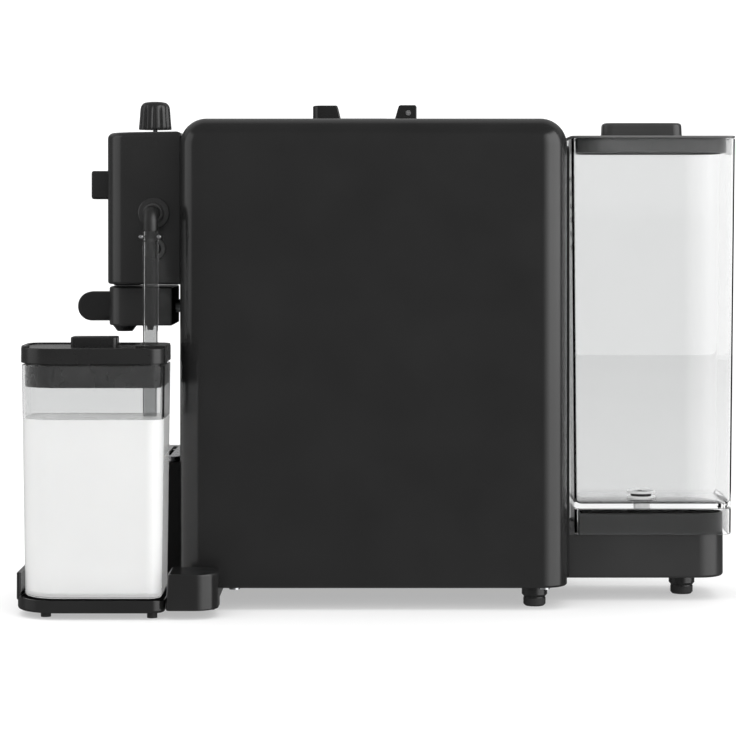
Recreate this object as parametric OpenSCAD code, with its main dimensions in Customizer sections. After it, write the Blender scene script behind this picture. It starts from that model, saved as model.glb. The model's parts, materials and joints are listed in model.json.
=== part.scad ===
// Pod coffee machine with a clip-on milk jug and a rear water tank.
// Millimetres, +Z up. X runs from the cup side (-X) to the water tank (+X).
// The origin is the middle of the footprint, on the surface the machine
// stands on. All sub-parts are drawn about the machine's own centre plane
// and shifted sideways by side_shift, because the milk jug stands out on one
// side of that plane.

/* [Body] */
// Length of the body, front face to rear face
body_len = 218; // [212:1:224]
// Width of the body
body_wid = 130; // [126:1:136]
// Height of the body's top above the table
body_top = 275; // [273.5:0.5:276]
// Radius of the body's rounded edges
edge_r = 15; // [11:0.5:16]
// Wall thickness of the body sleeve
wall = 2.6; // [2:0.2:3]

/* [Head] */
// How far the brew head stands out in front of the body
head_out = 44; // [42:0.5:48]
// Width of the brew head
head_wid = 74; // [70:1:80]
// Underside of the brew head above the table
head_bot = 181; // [180.7:0.1:183]
// Top of the brew head above the table
head_top = 268.3; // [266:0.1:269]

/* [Milk jug] */
// Height of the jug's rim above the table
jug_rim = 137.9; // [134:0.1:138.4]
// Depth of the jug, side to side of the machine
jug_dep = 51; // [48:0.5:52]
// Wall thickness of the clear jug
jug_wall = 2; // [1.6:0.1:2.6]

/* [Water tank] */
// Height of the tank's rim above the table
tank_rim = 264.4; // [240:0.1:266]
// Half width of the tank at its rim
tank_half = 34; // [33.8:0.1:36]
// Wall thickness of the clear tank
tank_wall = 2.2; // [1.8:0.1:2.4]

/* [Pod drawer] */
// Top of the cup grille above the table
cup_top = 83; // [76:0.5:84]
// Number of slots in the cup grille
slot_count = 9; // [5:1:11]

/* [Controls] */
// Height of the foam knob's crown above the table
knob_top = 286.8; // [284:0.1:290]
// Number of grip flutes round the foam knob
flutes = 12; // [8:1:18]
// Side of the square front button
button_w = 16.5; // [13:0.5:18]

/* [Fits] */
// Radial clearance of a running fit
run = 0.05; // [0.03:0.01:0.08]
// Gap between two resting faces of different pieces
gap = 0.3; // [0.3:0.05:0.5]

/* [Hidden] */
$fn = 64;
eps = 0.01;
side_shift = 16;
x_front = -115;
x_rear = x_front + body_len;
z_bot = 12.4;
hw = body_wid / 2;
hh = head_wid / 2;
panel_x = x_front + 0.3;
head_x = x_front - head_out;
knob_x = -133.6;
port_x = -131;
port_z = 221.7;
drop_x = -130.7;
drop_y = -60;
spig_z = 167.7;
jug_y0 = -93;
jug_y1 = jug_y0 + jug_dep;
tank_x0 = x_rear + 4;
tank_x1 = x_rear + 97.8;
sock_x = x_rear + 47;
brew_z = 205;
drawer_x0 = -190;
drawer_x1 = -5;
drawer_z0 = 15.8;
drawer_hw = 37;
hinge_x = 14;
hinge_z = 279.5;
cord_y = 44;
boss_x = [-84, x_rear - 13];

// ---- shared shapes -------------------------------------------------------

// Rectangle with rounded corners, from corner a to corner b
module rr(a, b, r) {
  translate([a[0] + r, a[1]]) square([b[0] - a[0] - 2 * r, b[1] - a[1]]);
  translate([a[0], a[1] + r]) square([b[0] - a[0], b[1] - a[1] - 2 * r]);
  for (x = [a[0] + r, b[0] - r], y = [a[1] + r, b[1] - r]) translate([x, y]) circle(r);
}

// Upright block with rounded vertical edges, from corner a to corner b
module slab(a, b, r) {
  translate([0, 0, a[2]]) linear_extrude(b[2] - a[2]) rr(a, b, r);
}

// Plain block from corner a to corner b
module blk(a, b) {
  translate(a) cube([b[0] - a[0], b[1] - a[1], b[2] - a[2]]);
}

// Cylinder along X, Y or Z from a point
module cx(p, r, l) { translate(p) rotate([0, 90, 0]) cylinder(h = l, r = r); }
module cy(p, r, l) { translate(p) rotate([-90, 0, 0]) cylinder(h = l, r = r); }
module cz(p, r, l) { translate(p) cylinder(h = l, r = r); }

// Hose of radius r through the points p, with a ball fitting at each bend
module hose(p, r) {
  for (i = [0 : len(p) - 2]) {
    d = p[i + 1] - p[i];
    l = norm(d);
    translate(p[i]) rotate([0, acos(d[2] / l), atan2(d[1], d[0])]) cylinder(h = l, r = r, $fn = 32);
  }
  if (len(p) > 2) for (i = [1 : len(p) - 2]) translate(p[i]) sphere(r = r * 1.2, $fn = 32);
}

// Block with rounded top and vertical edges, square at the bottom
module pillow(a, b, r) {
  hull() {
    for (x = [a[0] + r, b[0] - r], y = [a[1] + r, b[1] - r]) {
      translate([x, y, b[2] - r]) sphere(r = r, $fn = 48);
      translate([x, y, a[2]]) cylinder(h = 1, r = r, $fn = 48);
    }
  }
}

// Side profile extruded across the machine, from y0 to y1
module across(y0, y1) {
  translate([0, y1, 0]) rotate([90, 0, 0]) linear_extrude(y1 - y0) children();
}

// ---- body ----------------------------------------------------------------

module housing_shell() color("#2b2b2d") {
  difference() {
    pillow([x_front, -hw, z_bot], [x_rear, hw, body_top], edge_r);
    pillow([x_front + wall, -hw + wall, z_bot - 5], [x_rear - wall, hw - wall, body_top - wall], edge_r - wall);
    blk([x_front - 5, -47, z_bot - 5], [x_front + wall + 3, 47, 256]);
    blk([x_rear - wall - 3, -48, z_bot - 5], [x_rear + 5, 48, 256]);
    slab([-43.6, -24.5, body_top - 10], [21.4, 24.5, body_top + 5], 3);
  }
  for (x = boss_x, s = [-1, 1]) {
    difference() {
      union() {
        cz([x, s * 55, z_bot + 3], 4.5, 24);
        blk([x - 1.2, s > 0 ? 55 : -hw + wall - 0.4, z_bot + 3], [x + 1.2, s > 0 ? hw - wall + 0.4 : -55, z_bot + 27]);
      }
      cz([x, s * 55, z_bot], 1.4, 20);
    }
  }
}

module front_panel() color("#262628") {
  difference() {
    union() {
      blk([panel_x, -46.8, z_bot], [x_front + wall + 0.06, 46.8, 255.8]);
      blk([x_front + wall + 0.06, -49.6, z_bot], [x_front + wall + 2, 49.6, 259.4]);
    }
    blk([x_front - 3, -drawer_hw - 1.2, z_bot - 3], [x_front + 12, drawer_hw + 1.2, cup_top + 1.8]);
    cx([x_front - 3, 0, spig_z], 3.8, 20);
    cx([x_front - 3, 12, 240], 3.2, 20);
  }
}

module rear_panel() color("#2b2b2d") {
  difference() {
    union() {
      blk([x_rear - wall, -47.8, z_bot], [x_rear, 47.8, 255.8]);
      translate([x_rear, 0, 0]) rotate([90, 0, 90]) linear_extrude(1.5) rr([-49.8, 15], [49.8, 259.8], 8);
    }
    cx([x_rear - 9, 0, 28], 4.3, 20);
    cx([x_rear - 9, cord_y, 30], 3.6, 20);
    for (z = [200 : 8 : 240]) blk([x_rear - 9, -20, z], [x_rear + 9, 20, z + 3]);
  }
}

module base_plate() color("#262628") {
  difference() {
    slab([x_front + wall + 2.2, -hw + wall + 0.2, z_bot], [x_rear - wall - 0.2, hw - wall - 0.2, z_bot + 2.8], 12);
    for (x = boss_x, s = [-1, 1]) cz([x, s * 55, z_bot - 3], 1.6, 10);
    for (x = [30 : 10 : 60]) blk([x, -15, z_bot - 3], [x + 4, 15, z_bot + 8]);
  }
}

module base_screws() color("#8b8d90") {
  for (x = boss_x, s = [-1, 1]) difference() {
    union() {
      cz([x, s * 55, z_bot - 1.8], 3, 1.8);
      cz([x, s * 55, z_bot], 1.4, 14);
    }
    cz([x, s * 55, z_bot - 3], 1.2, 2.2, $fn = 6);
  }
}

// Where the two rear feet of the body stand; a fifth foot is under the tank base,
// and the tray's own pads carry the front
foot_at = [[x_rear - 18, -45], [x_rear - 18, 45]];

module body_feet() color("#2a2a2c") {
  for (p = foot_at) translate([p[0], p[1], 0]) rotate_extrude()
    polygon([[0, 4.5], [6, 4.5], [6, 5.2], [7.2, 6.6], [7.2, z_bot], [0, z_bot]]);
  translate([sock_x + 23.7, 0, 0]) rotate_extrude()
    polygon([[0, 4.5], [6.3, 4.5], [6.3, 5.2], [7.5, 6.6], [7.5, 13.1], [0, 13.1]]);
}

module foot_pads() color("#3a3a3c") {
  for (p = foot_at) translate([p[0], p[1], 0]) rotate_extrude()
    polygon([[0, 0], [5.2, 0], [6.3, 1.1], [6.3, 4.5], [0, 4.5]]);
  translate([sock_x + 23.7, 0, 0]) rotate_extrude()
    polygon([[0, 0], [5.5, 0], [6.5, 1.1], [6.5, 4.5], [0, 4.5]]);
}

module drawer_rails() color("#3c3c3e") {
  for (s = [-1, 1]) difference() {
    blk([-108, s > 0 ? drawer_hw + 0.5 : -drawer_hw - 4.5, z_bot + 2.8], [2, s > 0 ? drawer_hw + 4.5 : -drawer_hw - 0.5, 32]);
    for (x = [-90, -10]) cz([x, s * (drawer_hw + 2.5), 5], 1, 40);
  }
}

// ---- jug tray in front of the body ---------------------------------------

module tray_outline() {
  difference() {
    union() {
      // plate under the jug: a wide corner in front, a tight one beside the guide block
      intersection() {
        rr([-202.8, -97], [-119.9, 20], 7.5);
        rr([-202.8, -97], [-60, 20], 24);
      }
      // landing under the drawer
      rr([-202.8, -70], [-100, 41], 10);
      // tongue under the body
      translate([-118, -84]) square([25, 30]);
      translate([-130, -60]) square([37, 99]);
    }
    translate([-116, 39]) square([60, 20]);
    translate([-119.9, -99]) square([0.5, 38]);
  }
}

module jug_tray() color("#2a2a2c") {
  difference() {
    union() {
      translate([0, 0, 3.4]) linear_extrude(z_bot - 3.4) tray_outline();
      // guide wall at the front end of the jug's place
      slab([-202.8, -80, 8.6], [-200.4, -38, 23.5], 1.1);
      // guide block on the other side, wrapped round the body's corner
      translate([0, 0, 4.8]) linear_extrude(20.1) intersection() {
        rr([-160, -97], [-91, -67.4], 13);
        translate([-119.4, -98]) square([40, 60]);
      }
      // back stop for the jug and landing under the drawer
      blk([-200.6, -40.6, 12], [-119.4, -38.6, 18]);
      slab([-202, -38.2, 12], [-117, 39.4, 15.4], 3);
    }
    // sunk floor under the jug, open at the near edge
    blk([-200.4, -99, 10.4], [-119.4, -40.6, 30]);
    // underside pocket
    slab([-186, -80, 2], [-128, -45, 8], 8);
    slab([-190, -34, 2], [-120, 34, 9], 4);
    // room for the body above the tongue
    blk([-116.4, -66.6, z_bot], [-60, 60, 40]);
  }
}

module tray_pads() color("#3a3a3c") {
  for (p = [[-186, -84], [-127.2, -88.2], [-189, 30], [-102, -56], [-102, 30]])
    cz([p[0], p[1], 0], 2.8, 3.4);
}

// ---- tank base behind the body -------------------------------------------

// Plan of the tank base from x0 back, with wide rear corners, drawn in by d
module base_plan(x0, d) {
  intersection() {
    rr([x_rear - 60, -31 + d], [x_rear + 92.6 - d, 31 - d], 16 - d);
    translate([x0, -40]) square([200, 80]);
  }
}

module tank_base() color("#333335") {
  difference() {
    union() {
      translate([0, 0, 13.1]) linear_extrude(24.7) base_plan(x_rear + 1.5, 0);
      translate([0, 0, 30]) linear_extrude(20) base_plan(x_rear + 8.4, 0);
    }
    translate([0, 0, 15.5]) linear_extrude(32.1) base_plan(x_rear + 10.8, 2.4);
    translate([0, 0, 5]) linear_extrude(30.4) base_plan(x_rear + 3.9, 2.4);
    cz([sock_x, 0, 40], 8.4, 20);
    cx([x_rear, 0, 28], 4.3, 8);
  }
}

module tank_base_cover() color("#2a2a2c") {
  difference() {
    translate([0, 0, 13.1]) linear_extrude(2.3) base_plan(x_rear + 4.1, 2.6);
    cz([sock_x - 30, 0, 10], 2, 10);
  }
}

module tank_socket() color("#454547") {
  difference() {
    cz([sock_x, 0, 38], 8.4, 14.3);
    cz([sock_x, 0, 42], 5 + run, 12);
    cz([sock_x, 0, 49.2], 6.8, 1.8);
    cz([sock_x, 0, 36], 2.5, 8);
  }
}

module socket_seal() color("#6b2f22") {
  difference() {
    cz([sock_x, 0, 49.2], 6.8, 1.8);
    cz([sock_x, 0, 48], 5 + run, 4);
  }
}

// ---- brew head -----------------------------------------------------------

module head_outline(r, t) {
  intersection() {
    rr([head_x + t, -hh + t], [head_x + 130, hh - t], r - t);
    translate([head_x - 1, -hh - 1]) square([panel_x - head_x + 1, head_wid + 2]);
  }
}

module head_casing() color("#2b2b2d") {
  difference() {
    union() {
      translate([0, 0, head_bot]) linear_extrude(head_top - head_bot) head_outline(17, 0);
      cz([-149.8, 0, 179.7], 8.4, head_bot - 179.7 + eps);
      // lip that follows the body's rounded top edge
      difference() {
        blk([panel_x - 1, -hh, body_top - edge_r], [x_front + 2.8, hh, head_top]);
        cy([x_front + edge_r, -50, body_top - edge_r], edge_r + 0.02, 100);
      }
    }
    blk([x_front, -50, 250], [x_front + 20, 50, body_top - edge_r]);
    translate([0, 0, head_bot + 2.2]) linear_extrude(head_top - head_bot - 4.4)
      intersection() {
        rr([head_x + 2.2, -hh + 2.2], [head_x + 130, hh - 2.2], 14.8);
        translate([head_x - 1, -hh - 1]) square([head_out + 30, head_wid + 2]);
      }
    cz([-149.8, 0, 170], 5, 20);
    cz([knob_x, 0, head_top - 5], 2 + run, 10);
    blk([head_x - 5, -button_w / 2 - 0.4, 238 - button_w / 2 - 0.4], [head_x + 6, button_w / 2 + 0.4, 238 + button_w / 2 + 0.4]);
    cy([port_x, -hh - 5, port_z], 6, 12);
    cy([port_x, -hh - 5, 201.3], 4.5, 12);
  }
}

module upper_port() color("#303032") {
  difference() {
    union() {
      cy([port_x, -hh - 1.2, port_z], 8.8, 1.2);
      cy([port_x, -hh - 2.6, port_z], 6, 12.6);
    }
    cy([port_x, -hh - 5, port_z], 3.6 + run, 30);
  }
}

module lower_port() color("#303032") {
  difference() {
    union() {
      cy([port_x, -hh - 1.4, 201.3], 6.3, 1.4);
      cy([port_x, -hh, 201.3], 4.5, 8);
    }
    cy([port_x, -hh - 5, 201.3], 3.2, 8);
  }
}

module foam_valve_body() color("#55575a") {
  difference() {
    union() {
      cz([knob_x, 0, 196], 9, 66);
      blk([port_x - 5, -26.8, port_z - 5], [port_x + 5, -5, port_z + 5]);
      blk([-156, -9, 186], [-130, 9, 206]);
      blk([knob_x, -5, 235], [panel_x, 5, 245]);
    }
    cz([knob_x, 0, 234], 2 + run, 40);
    cy([port_x, -30, port_z], 2.5, 22);
    cz([-149.8, 0, 180], 4, 14);
  }
}

module button_switch() color("#1e3c66") {
  blk([head_x + 9.6, -6, 230], [knob_x - 9, 6, 246]);
  cx([head_x + 7, 0, 238], 1.6, 2.6);
}

module coffee_spigot() color("#4c4d50") {
  difference() {
    union() {
      cx([-131.5, 0, spig_z], 3.8, 24.5);
      cx([x_front + wall + 2, 0, spig_z], 6, 3);
    }
    cx([-140, 0, spig_z], 2, 40);
  }
}

// ---- pod hatch, chute and brew unit --------------------------------------

module hatch_bracket() color("#2b2b2d") {
  difference() {
    union() {
      difference() {
        slab([0, -24.3, 264], [21.2, 24.3, body_top - 0.3], 2.9);
        blk([-1, -50, 250], [4.5, 50, 300]);
        blk([-1, -14.6, 266], [30, 14.6, 300]);
      }
      for (s = [-1, 1]) {
        across(s > 0 ? 14.6 : -18.6, s > 0 ? 18.6 : -14.6)
          polygon([[6, body_top - 0.3], [8.2, 283], [9, 284], [18, 284], [18.8, 283], [18.8, body_top - 0.3]]);
      }
    }
    cy([hinge_x, -30, hinge_z], 1.5, 60);
  }
}

module hatch_pin() color("#9a9c9f") {
  cy([hinge_x, -18.6, hinge_z], 1.5, 37.2);
}

module pod_hatch() color("#2d2d2f") {
  difference() {
    union() {
      slab([-41.3, -22, body_top - 2.4], [3.6, 22, body_top + 1.2], 5);
      blk([-5, -14.1, body_top - 2.4], [18.4, 14.1, body_top + 1.2]);
      // raised front grip and rear hinge end
      intersection() {
        across(-14.1, 14.1)
          polygon([[-41.3, body_top], [-41.3, 284], [-27, 284], [-24.9, body_top]]);
        slab([-41.3, -14.1, body_top - 5], [0, 14.1, 290], 6);
      }
      across(-14.1, 14.1)
        polygon([[6, body_top], [8.2, 283], [9, 284], [18, 284], [18.8, 283], [18.8, body_top]]);
    }
    // finger scoop in the middle
    cz([-9.5, 0, body_top - 0.4], 9, 6);
    cy([hinge_x, -30, hinge_z], 1.5 + run, 60);
  }
}

module pod_chute() color("#3c3c3e") {
  difference() {
    union() {
      slab([-42.6, -23.6, 258], [2.8, 23.6, 271], 6);
      slab([-42, -24, 229.8], [-6, 24, 258], 3);
    }
    slab([-40.4, -21.4, 262], [0.6, 21.4, 280], 4);
    slab([-39.8, -20.2, 220], [-8.2, 20.2, 270], 2);
  }
}

module brew_frame() color("#6a6c6f") {
  for (s = [-1, 1]) difference() {
    blk([-78, s > 0 ? 23 : -27, 184], [20, s > 0 ? 27 : -23, 229.8]);
    cy([-60, s > 0 ? 20 : -30, 215], 1.6, 10);
    cy([-60, s > 0 ? 20 : -30, 195], 1.6, 10);
  }
  for (s = [-1, 1]) blk([x_front + wall + 2, s > 0 ? 23 : -27, 196], [-78, s > 0 ? 27 : -23, 222]);
  blk([-78, -23, 184], [-75, 23, 229.8]);
}

module brew_cage() color("#8c8e91") {
  difference() {
    cx([-75, 0, brew_z], 21.6, 34);
    cx([-68, 0, brew_z], 18.5, 40);
    cx([-80, 0, brew_z], 2, 20);
  }
}

module brew_piston() color("#77797c") {
  difference() {
    union() {
      cx([-39.4, 0, brew_z], 18, 4);
      cx([-35.4, 0, brew_z], 14.4, 8);
      blk([-27.4, -22.4, brew_z - 16], [-15, 22.4, brew_z + 16]);
    }
    cx([-30, 0, brew_z], 6, 20);
  }
}

module piston_seal() color("#6b2f22") {
  difference() {
    cx([-35.4, 0, brew_z], 16.6, 2.4);
    cx([-40, 0, brew_z], 14.4, 10);
  }
}

// ---- pump, heater, electronics and hoses ---------------------------------

module pump() color("#a7a9ab") {
  cx([8, -41, 38], 8, 10);
  cx([18, -41, 38], 15.5, 44);
  cx([62, -41, 38], 7, 12);
}

module pump_mounts() color("#29292b") {
  for (x = [9, 66]) difference() {
    blk([x, -57, z_bot + 2.8], [x + 6, -25, 50]);
    cx([x - 2, -41, 38], x < 20 ? 8 : 7, 12);
  }
}

module thermoblock() color("#b5b7b9") {
  difference() {
    slab([18, 14, 96], [74, 50, 164], 6);
    for (z = [104 : 14 : 156]) blk([10, 50 - 3, z], [80, 52, z + 5]);
  }
  cz([24, 20, z_bot + 2.8], 3, 96 - z_bot - 2.8);
  cz([68, 44, z_bot + 2.8], 3, 96 - z_bot - 2.8);
  cz([30, 32, 92], 5, 4);
  cz([60, 32, 164], 5, 4);
  cz([40, 32, 164], 5, 4);
}

module flow_meter() color("#c9cbcc") {
  cz([84, -12, z_bot + 2.8], 12, 36 - z_bot - 2.8);
  cx([88, 0, 28], 3.8, 6);
}

module control_board() color("#1f5c3a") {
  blk([-58, -57.6, 118], [60, -56, 226]);
  for (p = [[-40, 130], [-10, 140], [25, 130], [30, 180], [-30, 190]])
    blk([p[0], -56, p[1]], [p[0] + 18, -44, p[1] + 22]);
  for (x = [-50 : 16 : 46]) cy([x, -56, 170], 3.5, 9);
  for (x = [-52, 54], z = [123, 221]) cy([x, -hw + wall, z], 2, hw - wall - 57.6);
}

module inlet_hose() color("#d5d6d6") {
  hose([[sock_x, 0, 38], [sock_x, 0, 28], [94, 0, 28]], 3.6);
  hose([[84, -12, 36], [84, -12, 52], [84, -41, 52], [84, -41, 38], [74, -41, 38]], 3.4);
}

module pressure_hose() color("#d5d6d6") {
  hose([[8, -41, 38], [0, -41, 38], [0, -41, 84], [30, -41, 84], [30, 32, 84], [30, 32, 92]], 3.2);
}

module coffee_hose() color("#d5d6d6") {
  hose([[60, 32, 168], [60, 32, 244], [-86, 32, 244], [-86, 0, 244], [-86, 0, brew_z], [-78, 0, brew_z]], 3);
  hose([[-78, 0, 190], [-92, 0, 190], [-92, 0, spig_z], [-107, 0, spig_z]], 3);
}

module steam_hose() color("#d5d6d6") {
  hose([[40, 32, 168], [40, 32, 178], [-94, 32, 178], [-94, 12, 178], [-94, 12, 240], [panel_x, 12, 240]], 3);
}

module cord_gland() color("#232325") {
  difference() {
    union() {
      cx([x_rear + 1.5, cord_y, 30], 8.5, 3);
      cx([x_rear + 4.5, cord_y, 30], 5.8, 7);
      cx([x_rear - wall - 6, cord_y, 30], 5.8, 6);
    }
    cx([x_rear - 15, cord_y, 30], 3.6, 40);
  }
}

// ---- controls on the head ------------------------------------------------

module foam_knob() color("#353537") {
  difference() {
    translate([knob_x, 0, 0]) rotate_extrude()
      polygon([[0, 270.7], [9.25, 270.7], [8.9, 278], [8.5, knob_top - 3.6], [7.9, knob_top - 1.9], [6.2, knob_top - 0.6], [3.4, knob_top - 0.1], [0, knob_top]]);
    for (i = [0 : flutes - 1]) rotate_about(i * 360 / flutes) cz([knob_x + 9.7, 0, 269], 0.9, knob_top - 273);
    cz([knob_x, 0, 260], 2, 18);
  }
}

// Turns its children about the foam knob's axis
module rotate_about(a) {
  translate([knob_x, 0, 0]) rotate([0, 0, a]) translate([-knob_x, 0, 0]) children();
}

module foam_stem() color("#57585a") {
  cz([knob_x, 0, 236], 2, 42);
}

module front_button() color("#2d2d2f") {
  translate([0, 0, 238]) difference() {
    union() {
      blk([head_x - 11, -button_w / 2, -button_w / 2], [head_x + 3.2, button_w / 2, button_w / 2]);
      blk([head_x + 3.2, -button_w / 2 - 1.6, -button_w / 2 - 1.6], [head_x + 4.6, button_w / 2 + 1.6, button_w / 2 + 1.6]);
    }
    blk([head_x + 0.6, -5, -5], [head_x + 6, 5, 5]);
  }
}

module button_spring() color("#b9bbbd") {
  for (i = [0 : 3]) difference() {
    cx([head_x + 0.6 + i * 1.5, 0, 238], 3.8 - 0.2 * (i % 2), 1.5);
    cx([head_x, 0, 238], 2.9, 9);
  }
}

// ---- outlet block --------------------------------------------------------

module outlet_body() color("#2b2b2d") {
  difference() {
    translate([0, 0, 157]) linear_extrude(22.3) intersection() {
      rr([-159, -24], [-80, 24], 13);
      translate([-170, -30]) square([170 - 121.5, 60]);
    }
    cx([-132.2, 0, spig_z], 3.8 + run, 20);
    cz([-149.8, 0, 170], 6, 20);
    cz([-154.3, 0, 150], 2.6, 24);
    cz([-136.6, 0, 150], 1.8, 18);
    cx([-137, 0, spig_z], 1.8, 6);
  }
}

module outlet_handle() color("#1b1b1c") {
  across(-7, 7) difference() {
    translate([-178, 159.2]) rr([0, 0], [38, 16.9], 8.4);
    translate([-159, 150]) square([40, 40]);
  }
}

module foam_nozzle() color("#1d1d1f") {
  difference() {
    translate([-154.3, 0, 0]) rotate_extrude()
      polygon([[2.2, 157], [7, 157], [7, 156.2], [4.4, 152.9], [2.2, 152.9]]);
    blk([-170, -3, 150], [-158.9, 3, 152]);
  }
}

module coffee_nozzle() color("#1d1d1f") {
  translate([-136.6, 0, 0]) rotate_extrude()
    polygon([[1.6, 157], [4.4, 157], [4.4, 155.8], [3, 153.6], [1.6, 153.6]]);
}

// ---- milk jug ------------------------------------------------------------

// Plan of the jug and its lid: the corner towards the cup side of the near
// face is wide (radius ra), the other three are tight (radius rb).
module jug_plan(a, b, ra, rb) {
  intersection() {
    rr(a, b, rb);
    rr(a, [b[0] + 60, b[1] + 60], ra);
  }
}
module jug_slice(z, h, a, b, ra, rb) {
  translate([0, 0, z]) linear_extrude(h) jug_plan(a, b, ra, rb);
}

module milk_jug() color([0.86, 0.88, 0.89, 0.45]) {
  w = jug_wall;
  difference() {
    hull() {
      jug_slice(10.7, 1, [-199, jug_y0 + 0.8], [-122.3, jug_y1 - 0.8], 21, 7.4, $fn = 48);
      jug_slice(jug_rim - 1, 1, [-200.9, jug_y0], [-120.5, jug_y1], 22, 8, $fn = 48);
    }
    hull() {
      jug_slice(13.2, 1, [-199 + w, jug_y0 + 0.8 + w], [-122.3 - w, jug_y1 - 0.8 - w], 19, 5.4, $fn = 48);
      jug_slice(jug_rim, 2, [-200.9 + w, jug_y0 + w], [-120.5 - w, jug_y1 - w], 20, 6, $fn = 48);
    }
  }
}

module milk_elbow() color("#39393b") {
  difference() {
    union() {
      cy([port_x, drop_y, port_z], 4.1, -hh - 2.9 - drop_y);
      cy([port_x, -hh - 3, port_z], 3.6, 11);
      translate([port_x, drop_y, port_z]) sphere(r = 4.3);
      cz([drop_x, drop_y, 211.6], 4.1, port_z - 211.6);
      cz([drop_x, drop_y, 197], 3.2, 15);
    }
    cz([drop_x, drop_y, 190], 1.8, port_z - 190);
    cy([port_x, drop_y, port_z], 1.8, 40);
  }
}

module milk_tube() color([0.75, 0.77, 0.78, 0.5]) {
  difference() {
    cz([drop_x, drop_y, 16], 4.3, 211.5 - 16);
    cz([drop_x, drop_y, 10], 3.2, 220);
  }
}

module tube_clip() color("#c4c6c8") {
  difference() {
    union() {
      cz([drop_x, drop_y, 206.4], 5, 3.6);
      for (s = [-1, 1]) cy([drop_x + s * 4.8, drop_y - 3.4, 208.2], 0.9, 3);
    }
    cz([drop_x, drop_y, 200], 4.3, 20);
  }
}

module jug_lid() color("#2e2e30") {
  w = jug_wall;
  difference() {
    union() {
      jug_slice(139, 9.6, [-201.4, jug_y0 - 1], [-120.4, jug_y1 + 1], 23, 8);
      jug_slice(125.9, 13.2, [-200.9 + w + 0.8, jug_y0 + w + 0.6], [-120.5 - w - 0.8, jug_y1 - w - 0.6], 19.2, 5.4);
      // rests on the jug's rim
      for (x = [-168, -134], y = [jug_y0 + 0.3, jug_y1 - 3]) blk([x, y, jug_rim + run], [x + 7, y + 2.7, 139.2]);
    }
    // hollow inside the plug
    jug_slice(120, 25.4, [-200.9 + w + 2.8, jug_y0 + w + 2.6], [-120.5 - w - 2.8, jug_y1 - w - 2.6], 17.2, 3.4);
    // sunk top, ending round the tube
    jug_slice(147.2, 5, [-198.6, jug_y0 + 1.8], [-137, jug_y1 - 1.8], 20.2, 7);
    cz([drop_x, drop_y, 100], 4.9, 80);
  }
}

module jug_lid_grip() color("#303032") {
  slab([-173.8, -75, 147.2], [-148, -60, 153.8], 2);
}

module jug_lid_seal() color("#2a2a2c") {
  w = jug_wall;
  difference() {
    jug_slice(134.2, 2, [-200.9 + w + 0.5, jug_y0 + w + 0.4], [-120.5 - w - 0.5, jug_y1 - w - 0.4], 19.4, 5.6);
    jug_slice(130, 10, [-200.9 + w + 0.8, jug_y0 + w + 0.6], [-120.5 - w - 0.8, jug_y1 - w - 0.6], 19.2, 5.4);
  }
}

// ---- pod drawer ----------------------------------------------------------

module pod_container() color("#1f1f21") {
  difference() {
    slab([drawer_x0, -drawer_hw, drawer_z0], [drawer_x1, drawer_hw, cup_top - 3], 7);
    slab([drawer_x0 + 2, -drawer_hw + 2, drawer_z0 + 2], [-117.4, drawer_hw - 2, cup_top + 5], 5);
    slab([-115.4, -drawer_hw + 2, drawer_z0 + 2], [drawer_x1 - 2, drawer_hw - 2, cup_top + 5], 5);
    blk([-111, -drawer_hw - 5, 62], [drawer_x1 + 5, drawer_hw + 5, cup_top + 5]);
  }
}

module cup_grille() color("#a9abad") {
  n = slot_count;
  difference() {
    slab([drawer_x0 + 0.4, -drawer_hw + 0.4, cup_top - 3 + gap], [-116.6, drawer_hw - 0.4, cup_top], 6.6);
    for (i = [0 : n - 1]) {
      x = drawer_x0 + 9 + i * 56 / (n - 1);
      slab([x, -28, cup_top - 5], [x + 2.6, 28, cup_top + 3], 1.25);
    }
    slab([drawer_x0 + 2.4, -drawer_hw + 2.4, cup_top - 4], [-118.6, drawer_hw - 2.4, cup_top - 1.4], 4.6);
  }
}

// ---- water tank ----------------------------------------------------------

module water_tank() color([0.85, 0.87, 0.88, 0.4]) {
  difference() {
    hull() {
      slab([tank_x0 + 1.8, -tank_half + 0.4, 38.2], [tank_x1 - 2.5, tank_half - 0.4, 39.2], 5, $fn = 48);
      slab([tank_x0, -tank_half, tank_rim - 1], [tank_x1, tank_half, tank_rim], 5.4, $fn = 48);
    }
    hull() {
      slab([tank_x0 + 1.7 + tank_wall, -tank_half + 0.4 + tank_wall, 56], [tank_x1 - 2.3 - tank_wall, tank_half - 0.4 - tank_wall, 57], 3, $fn = 48);
      slab([tank_x0 + tank_wall, -tank_half + tank_wall, tank_rim], [tank_x1 - tank_wall, tank_half - tank_wall, tank_rim + 2], 3.4, $fn = 48);
    }
    slab([tank_x0 + 3.8, -tank_half + 2.4, 30], [tank_x1 - 4.5, tank_half - 2.4, 52.6], 1);
    cz([sock_x, 0, 50], 5, 12);
  }
}

module tank_valve() color("#b9bbbd") {
  difference() {
    union() {
      cz([sock_x, 0, 56], 7.9, 3);
      cz([sock_x, 0, 44.6], 5, 11.4);
    }
    cz([sock_x, 0, 40], 2.5, 14);
    for (a = [0 : 60 : 300]) translate([sock_x, 0, 0]) rotate([0, 0, a]) cz([4.6, 0, 53], 0.9, 10);
  }
}

module tank_strainer() color("#d9dbdc") {
  difference() {
    cz([sock_x, 0, 59], 6.4, 1.8);
    cz([sock_x, 0, 58], 5.2, 2);
    for (x = [-3.6 : 1.8 : 3.6]) blk([sock_x + x - 0.4, -3.4, 58], [sock_x + x + 0.4, 3.4, 62]);
  }
}

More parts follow.
